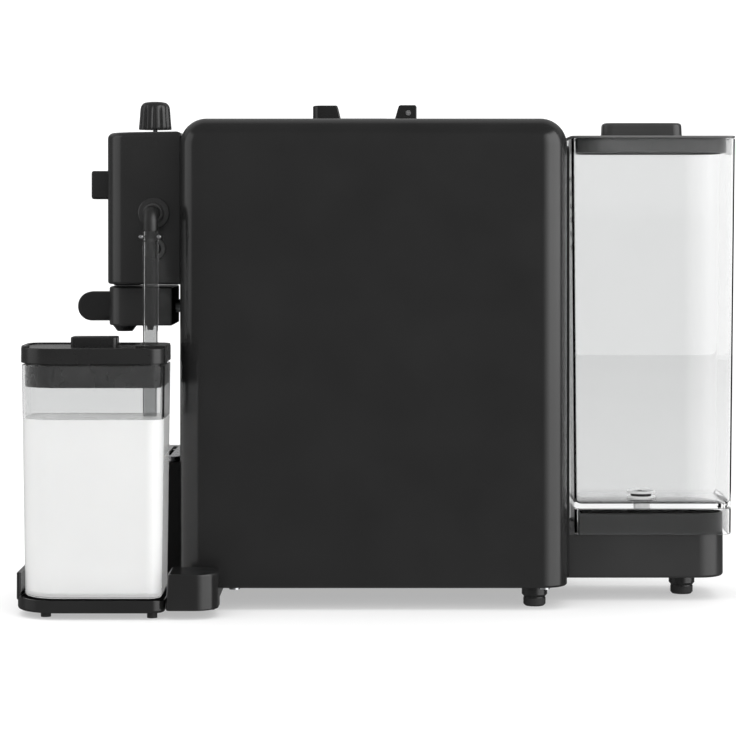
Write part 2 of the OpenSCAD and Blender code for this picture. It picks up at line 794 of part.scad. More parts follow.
module tank_lid() color("#4a4a4c") {
  difference() {
    union() {
      slab([tank_x0 - 1.1, -tank_half - 1, tank_rim + gap], [tank_x1 + 0.7, tank_half + 1, tank_rim + gap + 1.2], 6);
      slab([tank_x0 + tank_wall + 0.7, -tank_half + tank_wall + 0.7, tank_rim - 8], [tank_x1 - tank_wall - 0.7, tank_half - tank_wall - 0.7, tank_rim + gap + eps], 18);
    }
    slab([tank_x0 + tank_wall + 2.9, -tank_half + tank_wall + 2.9, tank_rim - 10], [tank_x1 - tank_wall - 2.9, tank_half - tank_wall - 2.9, tank_rim - 1.2], 16);
  }
}

module tank_lid_handle() color("#39393b") {
  slab([tank_x0 + 19.8, -9, tank_rim + gap + 1.2], [tank_x0 + 65.4, 9, tank_rim + gap + 9.2], 7);
}

// ---- draw ----------------------------------------------------------------

module at() { translate([0, side_shift, 0]) children(); }

at() housing_shell();
at() front_panel();
at() rear_panel();
at() base_plate();
at() base_screws();
at() body_feet();
at() foot_pads();
at() drawer_rails();
at() jug_tray();
at() tray_pads();
at() tank_base();
at() tank_base_cover();
at() tank_socket();
at() socket_seal();
at() head_casing();
at() upper_port();
at() lower_port();
at() foam_valve_body();
at() button_switch();
at() coffee_spigot();
at() hatch_bracket();
at() hatch_pin();
at() pod_chute();
at() brew_frame();
at() brew_cage();
at() pump();
at() pump_mounts();
at() thermoblock();
at() flow_meter();
at() control_board();
at() inlet_hose();
at() pressure_hose();
at() coffee_hose();
at() steam_hose();
at() cord_gland();
at() pod_hatch();
at() brew_piston();
at() piston_seal();
at() foam_knob();
at() foam_stem();
at() front_button();
at() button_spring();
at() outlet_body();
at() outlet_handle();
at() foam_nozzle();
at() coffee_nozzle();
at() milk_jug();
at() milk_elbow();
at() milk_tube();
at() tube_clip();
at() jug_lid();
at() jug_lid_grip();
at() jug_lid_seal();
at() pod_container();
at() cup_grille();
at() water_tank();
at() tank_valve();
at() tank_strainer();
at() tank_lid();
at() tank_lid_handle();
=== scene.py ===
import json
import math
import bpy
import bmesh
from mathutils import Matrix, Vector


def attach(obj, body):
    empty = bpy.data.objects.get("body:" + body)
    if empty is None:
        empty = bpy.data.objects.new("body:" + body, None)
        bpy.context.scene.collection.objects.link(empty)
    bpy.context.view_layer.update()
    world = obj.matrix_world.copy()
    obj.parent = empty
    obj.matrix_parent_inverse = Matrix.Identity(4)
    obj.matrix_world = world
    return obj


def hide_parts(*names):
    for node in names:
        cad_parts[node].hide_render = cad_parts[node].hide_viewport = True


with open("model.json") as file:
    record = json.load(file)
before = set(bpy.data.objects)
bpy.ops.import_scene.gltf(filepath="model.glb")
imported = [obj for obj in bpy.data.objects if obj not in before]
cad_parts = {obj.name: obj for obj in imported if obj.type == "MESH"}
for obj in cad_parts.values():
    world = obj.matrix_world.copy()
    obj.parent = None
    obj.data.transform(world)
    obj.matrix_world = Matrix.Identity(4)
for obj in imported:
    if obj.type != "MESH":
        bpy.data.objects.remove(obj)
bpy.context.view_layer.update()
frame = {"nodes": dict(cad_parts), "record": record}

# ---------------------------------------------------------------- coordinates
# The pieces are written in millimetres about the machine's own centre plane,
# which lies 16 mm to the +Y side of the row's.
MM, SHIFT = 0.001, 16.0
X_FRONT, X_REAR, Z_BOT, TOP, HW, EDGE = -115.0, 103.0, 12.4, 275.0, 65.0, 15.0
SCENE = bpy.context.scene


def row(x, y, z):
    return (x * MM, (y + SHIFT) * MM, z * MM)


def from_xz(u, v, w):
    """An outline in the side view, swept across the machine."""
    return row(u, w, v)


def from_yz(u, v, w):
    """An outline in the front view, swept along the machine."""
    return row(w, u, v)


# ---------------------------------------------------------------- outlines
def rrect(x0, x1, y0, y1, r, n=10):
    """Rounded rectangle, counterclockwise from the right of the x1 y1 corner. r is one radius or four, for x1y1, x0y1, x0y0, x1y0."""
    rs = r if isinstance(r, (list, tuple)) else (r,) * 4
    pts = []
    for (cx, cy, sx, sy, a0), rc in zip(
        ((x1, y1, -1, -1, 0), (x0, y1, 1, -1, 90), (x0, y0, 1, 1, 180), (x1, y0, -1, 1, 270)), rs
    ):
        rc = max(rc, 0.02)
        for i in range(n + 1):
            a = math.radians(a0 + 90 * i / n)
            pts.append((cx + sx * rc + rc * math.cos(a), cy + sy * rc + rc * math.sin(a)))
    return pts


def rounded(points, n=8):
    """Outline through corner points (u, v, radius), with an arc at each."""
    out, k = [], len(points)
    for i in range(k):
        p = Vector(points[i - 1][:2])
        q = Vector(points[i][:2])
        s = Vector(points[(i + 1) % k][:2])
        r = points[i][2]
        a, b = (p - q).normalized(), (s - q).normalized()
        half = math.acos(max(-1, min(1, a.dot(b)))) / 2
        if r < 0.01 or abs(half - math.pi / 2) < 1e-3:
            out.append((q.x, q.y))
            continue
        t = r / math.tan(half)
        c = q + (a + b).normalized() * (r / math.sin(half))
        p1, p2 = q + a * t, q + b * t
        a1 = math.atan2(p1.y - c.y, p1.x - c.x)
        a2 = math.atan2(p2.y - c.y, p2.x - c.x)
        d = (a2 - a1 + math.pi) % (2 * math.pi) - math.pi
        for j in range(n + 1):
            w = a1 + d * j / n
            out.append((c.x + r * math.cos(w), c.y + r * math.sin(w)))
    return out


def inset(pts, d):
    """A counterclockwise outline, moved inwards by d."""
    if abs(d) < 1e-9:
        return list(pts)
    k, out = len(pts), []
    for i in range(k):
        a, b, c = pts[i - 1], pts[i], pts[(i + 1) % k]
        e1 = Vector((b[0] - a[0], b[1] - a[1]))
        e2 = Vector((c[0] - b[0], c[1] - b[1]))
        e1 = e2 if e1.length < 1e-7 else e1
        e2 = e1 if e2.length < 1e-7 else e2
        n1 = Vector((-e1.y, e1.x)).normalized()
        n2 = Vector((-e2.y, e2.x)).normalized()
        m = n1 + n2
        s = max(1 + n1.dot(n2), 0.35)
        out.append((b[0] + m.x * d / s, b[1] + m.y * d / s))
    return out


# ---------------------------------------------------------------- mesh builder
class Build:
    def __init__(self):
        self.v, self.f = [], []

    def ring(self, pts):
        i = len(self.v)
        self.v.extend(pts)
        return list(range(i, i + len(pts)))

    def loft(self, rings, cap0=True, cap1=True, closed=False):
        idx = [self.ring(r) for r in rings]
        n = len(idx[0])
        pairs = list(zip(idx, idx[1:])) + ([(idx[-1], idx[0])] if closed else [])
        for a, b in pairs:
            for i in range(n):
                j = (i + 1) % n
                self.f.append((a[i], a[j], b[j], b[i]))
        if cap0 and not closed:
            self.f.append(tuple(reversed(idx[0])))
        if cap1 and not closed:
            self.f.append(tuple(idx[-1]))
        return self

    def box(self, lo, hi, z0, z1, rc=3.0, rb=0.6, rt=1.0, n=10, m=5, rc2=None, warp=None, bulge=0.0):
        """Upright rounded box. lo and hi are (x0, x1, y0, y1) at z0 and z1; rc is the plan radius (rc2 at the top), rb and rt the bottom and top edge radii."""
        rc2 = rc if rc2 is None else rc2
        rings = []

        def add(z, d):
            t = (z - z0) / (z1 - z0)
            x0, x1, y0, y1 = (a + (b - a) * t for a, b in zip(lo, hi))
            if isinstance(rc, (list, tuple)):
                r = [max(q - d, 0.02) for q in rc]
            else:
                r = max(rc + (rc2 - rc) * t - d, 0.02)
            pts = rrect(x0 + d, x1 - d, y0 + d, y1 - d, r, n)
            ring = []
            for px, py in pts:
                pz = z + (warp(px, py, z) if warp else 0.0)
                ring.append(row(px, py, pz))
            rings.append(ring)

        for i in range(m + 1):
            a = math.pi / 2 * i / m
            add(z0 + rb * (1 - math.cos(a)), rb * (1 - math.sin(a)))
        for i in range(m + 1):
            a = math.pi / 2 * i / m
            add(z1 - rt * (1 - math.sin(a)), rt * (1 - math.cos(a)))
        return self.loft(rings)

    def prism(self, outline, w0, w1, e0=0.6, e1=0.6, to=from_xz, m=4):
        """A counterclockwise outline swept from w0 to w1, with rounded edges e0 and e1."""
        rings = []
        for i in range(m + 1):
            a = math.pi / 2 * i / m
            rings.append((w0 + e0 * (1 - math.cos(a)), e0 * (1 - math.sin(a))))
        for i in range(m + 1):
            a = math.pi / 2 * i / m
            rings.append((w1 - e1 * (1 - math.sin(a)), e1 * (1 - math.cos(a))))
        return self.loft([[to(u, v, w) for u, v in inset(outline, d)] for w, d in rings])

    def lathe(self, profile, at=(0, 0, 0), axis="z", n=64, radial=None, close=False):
        """profile is (radius, height) points; the first and last are capped, or joined if close. radial(angle, radius, height) changes the radius."""
        rings = []
        for r, h in profile:
            ring = []
            for i in range(n):
                a = 2 * math.pi * i / n
                q = max(r, 0.005)
                if radial:
                    q = radial(a, q, h)
                c, s = q * math.cos(a), q * math.sin(a)
                if axis == "z":
                    p = (at[0] + c, at[1] + s, at[2] + h)
                elif axis == "y":
                    p = (at[0] + c, at[1] + h, at[2] + s)
                else:
                    p = (at[0] + h, at[1] + c, at[2] + s)
                ring.append(row(*p))
            rings.append(ring)
        return self.loft(rings, closed=close)

    def tube(self, path, radius, n=24, inner=None):
        """Round tube along points; inner makes it hollow."""
        pts = [Vector(p) for p in path]
        k = len(pts)
        tang = [(pts[min(i + 1, k - 1)] - pts[max(i - 1, 0)]).normalized() for i in range(k)]
        ref = Vector((0, 1, 0)) if abs(tang[0].y) < 0.9 else Vector((1, 0, 0))
        u = tang[0].cross(ref).normalized()
        frames = []
        for t in tang:
            u = (u - t * u.dot(t)).normalized()
            frames.append((u, t.cross(u)))
        def rings(r):
            out = []
            for i, (p, (a, b)) in enumerate(zip(pts, frames)):
                q = r[i] if isinstance(r, (list, tuple)) else r
                out.append([row(*(p + (a * math.cos(w) + b * math.sin(w)) * q)) for w in (2 * math.pi * j / n for j in range(n))])
            return out
        if inner:
            return self.loft(rings(radius) + rings(inner)[::-1], closed=True)
        return self.loft(rings(radius))

    def object(self, name):
        me = bpy.data.meshes.new(name)
        me.from_pydata(self.v, [], self.f)
        bm = bmesh.new()
        bm.from_mesh(me)
        bmesh.ops.remove_doubles(bm, verts=bm.verts, dist=1e-6)
        bmesh.ops.dissolve_degenerate(bm, edges=bm.edges, dist=1e-6)
        bmesh.ops.recalc_face_normals(bm, faces=bm.faces)
        bm.to_mesh(me)
        bm.free()
        o = bpy.data.objects.new(name, me)
        SCENE.collection.objects.link(o)
        return o


def cut(target, *cutters, operation="DIFFERENCE"):
    """Boolean of target with cutter objects, applied; the cutters are removed."""
    for c in cutters:
        m = target.modifiers.new("cut", "BOOLEAN")
        m.operation, m.solver, m.object = operation, "EXACT", c
    bpy.context.view_layer.update()
    deps = bpy.context.evaluated_depsgraph_get()
    me = bpy.data.meshes.new_from_object(target.evaluated_get(deps))
    target.modifiers.clear()
    old = target.data
    target.data = me
    me.name = target.name
    bpy.data.meshes.remove(old)
    for c in cutters:
        data = c.data
        bpy.data.objects.remove(c)
        bpy.data.meshes.remove(data)
    return target


def join(name, *objs):
    """One object of several closed shells."""
    bm = bmesh.new()
    for o in objs:
        bm.from_mesh(o.data)
    me = bpy.data.meshes.new(name)
    bm.to_mesh(me)
    bm.free()
    for o in objs:
        d = o.data
        bpy.data.objects.remove(o)
        bpy.data.meshes.remove(d)
    out = bpy.data.objects.new(name, me)
    SCENE.collection.objects.link(out)
    return out


def dress(o, body, material, replaces=(), sharp=32):
    """Material, shading, and the body the piece rides on."""
    me = o.data
    me.materials.clear()
    me.materials.append(material)
    for p in me.polygons:
        p.use_smooth = True
    me.set_sharp_from_angle(angle=math.radians(sharp))
    w = o.modifiers.new("normals", "WEIGHTED_NORMAL")
    w.keep_sharp = True
    w.weight = 60
    w.mode = "FACE_AREA_WITH_ANGLE"
    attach(o, body)
    if replaces:
        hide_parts(*replaces)
    return o


# ---------------------------------------------------------------- materials
def nodes_of(name):
    m = bpy.data.materials.new(name)
    m.use_nodes = True
    nt = m.node_tree
    nt.nodes.clear()
    out = nt.nodes.new("ShaderNodeOutputMaterial")
    bsdf = nt.nodes.new("ShaderNodeBsdfPrincipled")
    nt.links.new(bsdf.outputs[0], out.inputs[0])
    return m, nt, bsdf


def noise(nt, scale, detail=2.0, rough=0.5, stretch=(1, 1, 1)):
    tc = nt.nodes.new("ShaderNodeTexCoord")
    mp = nt.nodes.new("ShaderNodeMapping")
    mp.inputs["Scale"].default_value = stretch
    nt.links.new(tc.outputs["Object"], mp.inputs["Vector"])
    n = nt.nodes.new("ShaderNodeTexNoise")
    n.inputs["Scale"].default_value = scale
    n.inputs["Detail"].default_value = detail
    n.inputs["Roughness"].default_value = rough
    nt.links.new(mp.outputs["Vector"], n.inputs["Vector"])
    return n.outputs["Fac"]


def ramp(nt, fac, a, b, lo=0.3, hi=0.7):
    r = nt.nodes.new("ShaderNodeValToRGB")
    r.color_ramp.elements[0].position = lo
    r.color_ramp.elements[1].position = hi
    r.color_ramp.elements[0].color = (*a, 1)
    r.color_ramp.elements[1].color = (*b, 1)
    nt.links.new(fac, r.inputs["Fac"])
    return r.outputs["Color"]


def span(nt, fac, lo, hi):
    r = nt.nodes.new("ShaderNodeMapRange")
    r.inputs["From Min"].default_value = 0.3
    r.inputs["From Max"].default_value = 0.7
    r.inputs["To Min"].default_value = lo
    r.inputs["To Max"].default_value = hi
    nt.links.new(fac, r.inputs["Value"])
    return r.outputs["Result"]


def bump(nt, bsdf, height, strength, distance):
    b = nt.nodes.new("ShaderNodeBump")
    b.inputs["Strength"].default_value = strength
    b.inputs["Distance"].default_value = distance
    nt.links.new(height, b.inputs["Height"])
    nt.links.new(b.outputs["Normal"], bsdf.inputs["Normal"])


def plastic(name, tone, rough=(0.3, 0.36), vary=0.12, grain=2600.0, grain_h=0.00001, tint=(1, 1, 1), ior=1.5, strength=0.25):
    """Moulded plastic: slight colour drift, uneven gloss and a fine mould grain."""
    m, nt, b = nodes_of(name)
    big = noise(nt, 22.0, 3.0)
    lo = tuple(tone * (1 - vary) * c for c in tint)
    hi = tuple(tone * (1 + vary) * c for c in tint)
    nt.links.new(ramp(nt, big, lo, hi), b.inputs["Base Color"])
    nt.links.new(span(nt, noise(nt, 60.0, 4.0), *rough), b.inputs["Roughness"])
    bump(nt, b, noise(nt, grain, 3.0, 0.6), strength, grain_h)
    b.inputs["IOR"].default_value = ior
    return m


def rubber(name, tone, tint=(1, 1, 1)):
    return plastic(name, tone, (0.62, 0.74), 0.15, 1500.0, 0.00003, tint, 1.45, 0.5)


def metal(name, col, rough=(0.24, 0.34), stretch=(1, 1, 12), scale=300.0, height=0.000006):
    m, nt, b = nodes_of(name)
    f = noise(nt, scale, 3.0, 0.6, stretch)
    nt.links.new(ramp(nt, f, tuple(0.9 * c for c in col), tuple(min(1, 1.06 * c) for c in col)), b.inputs["Base Color"])
    nt.links.new(span(nt, f, *rough), b.inputs["Roughness"])
    b.inputs["Metallic"].default_value = 1.0
    bump(nt, b, f, 0.3, height)
    return m


def painted_light_toward_x(nt, colour, x0, x1, painted_light_end):
    """Painted light: a colour that eases into a lighter one between two places along the machine, in mm."""
    tc = nt.nodes.new("ShaderNodeTexCoord")
    sep = nt.nodes.new("ShaderNodeSeparateXYZ")
    nt.links.new(tc.outputs["Object"], sep.inputs["Vector"])
    mr = nt.nodes.new("ShaderNodeMapRange")
    mr.interpolation_type = "SMOOTHSTEP"
    mr.inputs["From Min"].default_value = x0 * MM
    mr.inputs["From Max"].default_value = x1 * MM
    nt.links.new(sep.outputs["X"], mr.inputs["Value"])
    mix = nt.nodes.new("ShaderNodeMix")
    mix.data_type = "RGBA"
    nt.links.new(mr.outputs["Result"], mix.inputs["Factor"])
    nt.links.new(colour, mix.inputs[6])
    mix.inputs[7].default_value = (*painted_light_end, 1)
    return mix.outputs[2]


def clear(name, col, ior=1.46, rough=(0.0, 0.03), wave=0.00002, scale=24.0, painted_light_end=None):
    """Clear moulded plastic or water, with faint flow marks; the last argument, if given, lightens the colour towards
    one end as a painted highlight.
    """
    m, nt, b = nodes_of(name)
    f = noise(nt, scale, 2.0)
    lo = tuple(0.99 * c for c in col)
    colour = ramp(nt, f, lo, col)
    if painted_light_end:
        colour = painted_light_toward_x(nt, colour, *painted_light_end)
    nt.links.new(colour, b.inputs["Base Color"])
    nt.links.new(span(nt, noise(nt, 90.0, 3.0), *rough), b.inputs["Roughness"])
    bump(nt, b, f, 0.2, wave)
    b.inputs["Transmission Weight"].default_value = 1.0
    b.inputs["IOR"].default_value = ior
    return m


def milk_material():
    m, nt, b = nodes_of("milk")
    f = noise(nt, 30.0, 3.0)
    colour = ramp(nt, f, (0.52, 0.52, 0.517), (0.55, 0.55, 0.546))
    # Painted light: the milk's colour lightens over its last few mm towards the housing, where the housing shades it.
    nt.links.new(painted_light_toward_x(nt, colour, -131, -124, (0.8, 0.8, 0.795)), b.inputs["Base Color"])
    nt.links.new(span(nt, noise(nt, 45.0, 2.0), 0.16, 0.26), b.inputs["Roughness"])
    b.inputs["Subsurface Weight"].default_value = 0.2
    b.inputs["Subsurface Radius"].default_value = (0.9, 0.8, 0.65)
    b.inputs["Subsurface Scale"].default_value = 0.004
    b.inputs["IOR"].default_value = 1.35
    # Painted light: the milk glows although it is no lamp.
    b.inputs["Emission Color"].default_value = (1, 1, 0.995, 1)
    b.inputs["Emission Strength"].default_value = 0.49
    return m


BODY = plastic("body_plastic", 0.0112, (0.19, 0.24), strength=0.12)
HEADP = plastic("head_plastic", 0.0138, (0.19, 0.24), strength=0.12)
# Painted light: a lighter copy of the black plastic for the outlet and upper port ring, lifting parts that sit in the
# head's shade.
OUTP = plastic("outlet_plastic", 0.021, (0.22, 0.28), strength=0.12)
PANEL = plastic("panel_plastic", 0.012, (0.34, 0.42))
GLOSS = plastic("gloss_black", 0.0115, (0.10, 0.15), 0.1, 1800.0, 0.000004)
KNOB = plastic("knob_plastic", 0.016, (0.26, 0.33), strength=0.12)
LID = plastic("lid_plastic", 0.0112, (0.24, 0.30), strength=0.04)
TANKP = plastic("tank_plastic", 0.105, (0.30, 0.36), strength=0.08)
HANDLE = plastic("handle_plastic", 0.033, (0.28, 0.34), strength=0.08)
TANKB = plastic("tank_base_plastic", 0.020, (0.30, 0.36), strength=0.06)
DARK = plastic("inner_plastic", 0.02, (0.4, 0.5))
RUBBER = rubber("rubber_black", 0.02)
SEAL = rubber("seal_rubber", 0.2, (0.9, 0.28, 0.2))
HOSE = rubber("hose_white", 0.62)
STEEL = metal("steel", (0.58, 0.58, 0.59))
ZINC = metal("zinc", (0.62, 0.63, 0.64), (0.2, 0.3), (6, 6, 1))
ALU = metal("heater_metal", (0.66, 0.67, 0.68), (0.35, 0.5), (1, 1, 1), 900.0, 0.00003)
GUN = metal("grey_metal", (0.30, 0.31, 0.32), (0.3, 0.4), (1, 1, 6))
BOARD = plastic("board_green", 0.12, (0.3, 0.4), 0.3, 900.0, 0.00002, (0.25, 1.1, 0.5))
BLUE = plastic("switch_blue", 0.2, (0.3, 0.4), 0.1, 2600.0, 0.00001, (0.1, 0.35, 1.0))
# Painted highlight: the tank's clear plastic turns lighter towards its far end, between X 177 and 188 mm.
CLEAR = clear("clear_plastic", (0.766, 0.770, 0.770), 1.2, (0.0, 0.004), 0.000003, 24.0, (177, 188, (0.862, 0.864, 0.864)))
JUGC = clear("jug_plastic", (0.768, 0.772, 0.772), 1.25, (0.0, 0.004), 0.000003)
TUBE = clear("tube_plastic", (0.56, 0.565, 0.565), 1.1, (0.0, 0.02), 0.000002)
# Painted light: the tube plastic glows faintly, lifting it over the dark head.
TUBE.node_tree.nodes["Principled BSDF"].inputs["Emission Color"].default_value = (1, 1, 1, 1)
TUBE.node_tree.nodes["Principled BSDF"].inputs["Emission Strength"].default_value = 0.010
MILK = milk_material()
MILKTOP = plastic("milk_surface", 0.6, (0.25, 0.35), 0.03, 900.0, 0.000005, (1, 1, 1), 1.2)
# Painted light: the milk's top surface glows although it is no lamp.
MILKTOP.node_tree.nodes["Principled BSDF"].inputs["Emission Color"].default_value = (1, 1, 0.995, 1)
MILKTOP.node_tree.nodes["Principled BSDF"].inputs["Emission Strength"].default_value = 0.3
WHITE = plastic("white_plastic", 0.7, (0.3, 0.4), 0.04)
# Painted light: the white valve and strainer plastic glows, lifting it inside the tank.
WHITE.node_tree.nodes["Principled BSDF"].inputs["Emission Color"].default_value = (1, 1, 1, 1)
WHITE.node_tree.nodes["Principled BSDF"].inputs["Emission Strength"].default_value = 0.45
# Painted highlight: a lighter grey for the port rings and elbow collar, standing in for the highlights they catch.
RINGP = plastic("ring_plastic", 0.040, (0.30, 0.38), 0.08)
ELBOWP = plastic("elbow_plastic", 0.0125, (0.36, 0.44), 0.08)
# Painted shade: a near-black, dull material laid on the outlet's back faces, the tray recess and the tank seat, where
# shade falls.
SHADE_BLACK = plastic("painted_shade_black", 0.0012, (0.85, 0.95), 0.1, 900.0, 0.00001, (1, 1, 1), 1.08)
# Painted shade: the pod container is much darker than the other black plastic, standing in for the shade between jug
# and housing.
BIN = plastic("bin_plastic", 0.0042, (0.44, 0.52), 0.1, 900.0, 0.00001, (1, 1, 1), 1.24)
GREYP = plastic("grey_plastic", 0.12, (0.3, 0.4), 0.05)

BY_SLOT = {
    "body_plastic": BODY, "panel_plastic": PANEL, "gloss_black": GLOSS, "tank_plastic": TANKB, "clear_plastic": CLEAR,
    "tube_plastic": TUBE, "rubber_black": RUBBER, "seal_rubber": SEAL, "steel": STEEL, "zinc": ZINC, "heater_metal": ALU,
    "board_green": BOARD, "switch_blue": BLUE, "hose_white": HOSE, "grey_metal": GUN,
}
for sub in frame["record"]["subparts"]:
    node = frame["nodes"][sub["node"]]
    node.data.materials.clear()
    node.data.materials.append(BY_SLOT[sub["material_slot"]])

# ---------------------------------------------------------------- body sleeve
shell = Build().box((X_FRONT, X_REAR, -HW, HW), (X_FRONT, X_REAR, -HW, HW), Z_BOT, TOP, EDGE, 1.4, EDGE, 18, 14).object("body_shell")
hollow = Build().box((-112.4, 100.4, -62.4, 62.4), (-112.4, 100.4, -62.4, 62.4), 4, 272.4, 12.4, 0.5, 12.4, 12, 8).object("hollow")
mouth = Build().prism(rrect(-47, 47, 0, 256, 1.2, 4), -125, -107, 0.1, 0.1, from_yz, 2).object("mouth")
back = Build().prism(rrect(-48, 48, 0, 256, 6, 6), 96, 112, 0.1, 0.1, from_yz, 2).object("back")
way = Build().box((-43.6, 21.4, -24.5, 24.5), (-43.6, 21.4, -24.5, 24.5), 262, 282, 3, 0.1, 0.1, 6, 2).object("way")
cut(shell, hollow, mouth, back, way)
bosses = Build()
for bx in (-84, X_REAR - 13):
    for s in (-1, 1):
        bosses.lathe([(4.5, 15.4), (4.5, 38.2), (4.3, 39.4), (1.4, 39.4), (1.4, 15.4)], (bx, s * 55, 0), n=32, close=True)
        bosses.prism(rrect(bx - 1.2, bx + 1.2, 15.4, 39, 0.3, 2), s * 58.6 - 1.2 * s, s * 62.6, 0.1, 0.1, from_xz, 2)
shell = join("body_shell", shell, bosses.object("bosses"))
dress(shell, "housing", BODY, ["housing_shell"])

# ---------------------------------------------------------------- brew head
def head_rise(x, y, z):
    t = max(0.0, min(1.0, (z - 200) / 60))
    return t * (-0.55 + 0.75 * max(0.0, min(1.0, (x + 159) / 43.7)))


head = Build().box((-158.9, -115.3, -37, 37), (-159.0, -115.3, -37, 37), 181, 268.2, [1.3, 17, 17, 1.3], 1.6, 3.4, 18, 8, warp=head_rise).object("head_shell")
cavity = Build().box((-156.5, -117.5, -34.6, 34.6), (-156.5, -117.5, -34.6, 34.6), 183.2, 265, [0.5, 14.6, 14.6, 0.5], 0.5, 1.5, 12, 4).object("cavity")
square = Build().prism(rrect(-8.65, 8.65, 229.35, 246.65, 1.6, 6), -170, -150, 0.05, 0.05, from_yz, 2).object("square")
cut(head, cavity, square)
collar = Build().lathe([(5, 179.7), (7.6, 179.7), (8.4, 180.4), (8.4, 181.6), (5, 181.6)], (-149.8, 0, 0), n=48, close=True).object("collar")
neck = Build().lathe([(2.2, 266.6), (4.6, 266.6), (4.6, 268.5), (4.0, 268.8), (2.2, 268.8)], (-133.6, 0, 0), n=40, close=True).object("neck")
head = join("head_shell", head, collar, neck)
dress(head, "housing", HEADP, ["head_casing"])

# ---------------------------------------------------------------- foam knob
def scallop(a, r, h):
    if r < 6.9:
        return r
    k = abs(math.sin(a * 6.0 + 0.25))
    fade = max(0.0, min(1.0, (284.4 - h) / 2.6)) * max(0.0, min(1.0, (h - 269.9) / 0.5))
    return r - 0.95 * fade * (1 - k) ** 1.6


knob = Build().lathe(
    [(0.0, 270.3), (8.6, 270.3), (9.35, 270.35), (9.6, 270.7), (9.5, 272.0), (9.25, 274.5), (9.0, 277.5), (8.8, 280.5), (8.6, 282.6), (8.3, 283.9),
     (7.7, 284.9), (6.9, 285.7), (6.2, 286.1), (5.7, 286.25), (5.2, 286.3), (4.2, 286.5), (2.6, 286.65), (1.2, 286.72), (0.0, 286.75)],
    (-133.6, 0, 0), n=240, radial=scallop).object("knob_cap")
dress(knob, "knob", KNOB, ["foam_knob"], 40)
stem = Build().lathe([(1.9, 236), (1.9, 267.6), (1.3, 268.2), (1.3, 277)], (-133.6, 0, 0), n=40)
dress(stem.object("knob_stem"), "knob", GUN, ["foam_stem"])

# ---------------------------------------------------------------- front button
button = Build().prism(rrect(-8.25, 8.25, 229.75, 246.25, 2.2, 8), -170, -158.9, 1.3, 0.1, from_yz, 6)
for y0, y1, z0, z1 in ((-8.2, -5, 232, 244), (5, 8.2, 232, 244), (-6, 6, 229.8, 233), (-6, 6, 243, 246.2)):
    button.prism(rrect(y0, y1, z0, z1, 0.4, 3), -159.0, -155.7, 0.1, 0.1, from_yz, 2)
for y0, y1, z0, z1 in ((-9.8, -5, 230, 246), (5, 9.8, 230, 246), (-8, 8, 228.2, 233), (-8, 8, 243, 247.8)):
    button.prism(rrect(y0, y1, z0, z1, 0.6, 3), -155.8, -154.5, 0.2, 0.2, from_yz, 2)
dress(button.object("button_cap"), "button", HEADP, ["front_button"])
coil = [(-158.2 + 5.8 * i / 120, 3.4 * math.cos(i * math.pi / 10), 238 + 3.4 * math.sin(i * math.pi / 10)) for i in range(121)]
dress(Build().tube(coil, 0.42, 10).object("button_coil"), "button", STEEL, ["button_spring"])

# ---------------------------------------------------------------- ports, elbow, tube, clip
PX, PZ, DX, DY = -131.0, 221.7, -130.7, -60.0
port = Build().lathe([(3.65, -48.2 + 23), (6.0, -25.2), (6.0, -37.2), (8.4, -37.2), (8.9, -37.6), (8.9, -38.0), (8.5, -38.4), (6.6, -38.5),
                      (6.2, -38.7), (6.1, -39.4), (5.8, -39.6), (3.65, -39.6)], (PX, 0, PZ), "y", 64, close=True)
dress(port.object("upper_ring"), "housing", OUTP, ["upper_port"])
low = Build().lathe([(2.9, -29), (4.5, -29), (4.5, -37.1), (6.4, -37.1), (6.65, -37.5), (6.6, -38.1), (6.2, -38.4), (4.6, -38.4), (4.2, -38.0),
                     (3.9, -36.6), (2.9, -36.4)], (PX, 0, 201.3), "y", 56, close=True)
dress(low.object("lower_ring"), "housing", RINGP, ["lower_port"])

bend = [(PX, -40.0, PZ), (PX, -44, PZ), (PX, -50, PZ), (PX, -55.2, PZ)]
for i in range(1, 10):
    a = math.pi / 2 * i / 10
    bend.append((PX + 0.3 * i / 10, -55.2 - 4.8 * math.sin(a), PZ - 0.4 - 4.8 * (1 - math.cos(a)) + 0.4 * (1 - i / 10)))
bend += [(DX, DY, 216.5), (DX, DY, 214), (DX, DY, 211.9)]
rad = [4.0, 4.1, 4.1, 4.12] + [4.15] * 9 + [4.15, 4.15, 4.05]
elbow = Build().tube(bend, rad, 40)
elbow.lathe([(1.8, 197), (2.9, 197), (3.2, 197.5), (3.2, 205), (3.45, 205.6), (3.45, 206.4), (3.2, 206.8), (3.2, 212.4), (1.8, 212.4)], (DX, DY, 0), n=40, close=True)
elbow.lathe([(1.8, -48), (3.6, -48), (3.6, -30), (3.3, -29), (1.8, -29)], (PX, 0, PZ), "y", 40, close=True)
ringlet = Build().lathe([(4.2, -43.0), (4.9, -43.1), (5.35, -42.7), (5.5, -42.0), (5.3, -41.3), (4.9, -41.0), (4.2, -41.0)], (PX, 0, PZ), "y", 56, close=True)
dress(ringlet.object("elbow_collar"), "jug", RINGP)
dress(elbow.object("elbow_piece"), "jug", ELBOWP, ["milk_elbow"])
tube = Build().lathe([(3.4, 16), (4.2, 16), (4.35, 16.3), (4.35, 206.0), (4.35, 211.2), (4.2, 211.5), (3.4, 211.5)], (DX, DY, 0), n=48, close=True)
dress(tube.object("milk_tube_clear"), "jug", TUBE, ["milk_tube"])
clip = Build()
bow = []
for i in range(37):
    a = math.radians(-38 + 256 * i / 36)
    bow.append((DX + 4.85 * math.cos(a), DY + 4.85 * math.sin(a), 208.4))
clip.tube([(DX + 5.05, -64.3, 208.4)] + bow + [(DX - 5.05, -64.3, 208.4)], 0.42, 10)
for s in (-1, 1):
    clip.lathe([(0.2, -65.4), (0.75, -65.3), (1.1, -64.9), (1.15, -64.3), (1.0, -63.7), (0.6, -63.4), (0.2, -63.3)], (DX + s * 5.05, 0, 208.4), "y", 24)
dress(clip.object("clip_wire"), "jug", STEEL, ["tube_clip"])

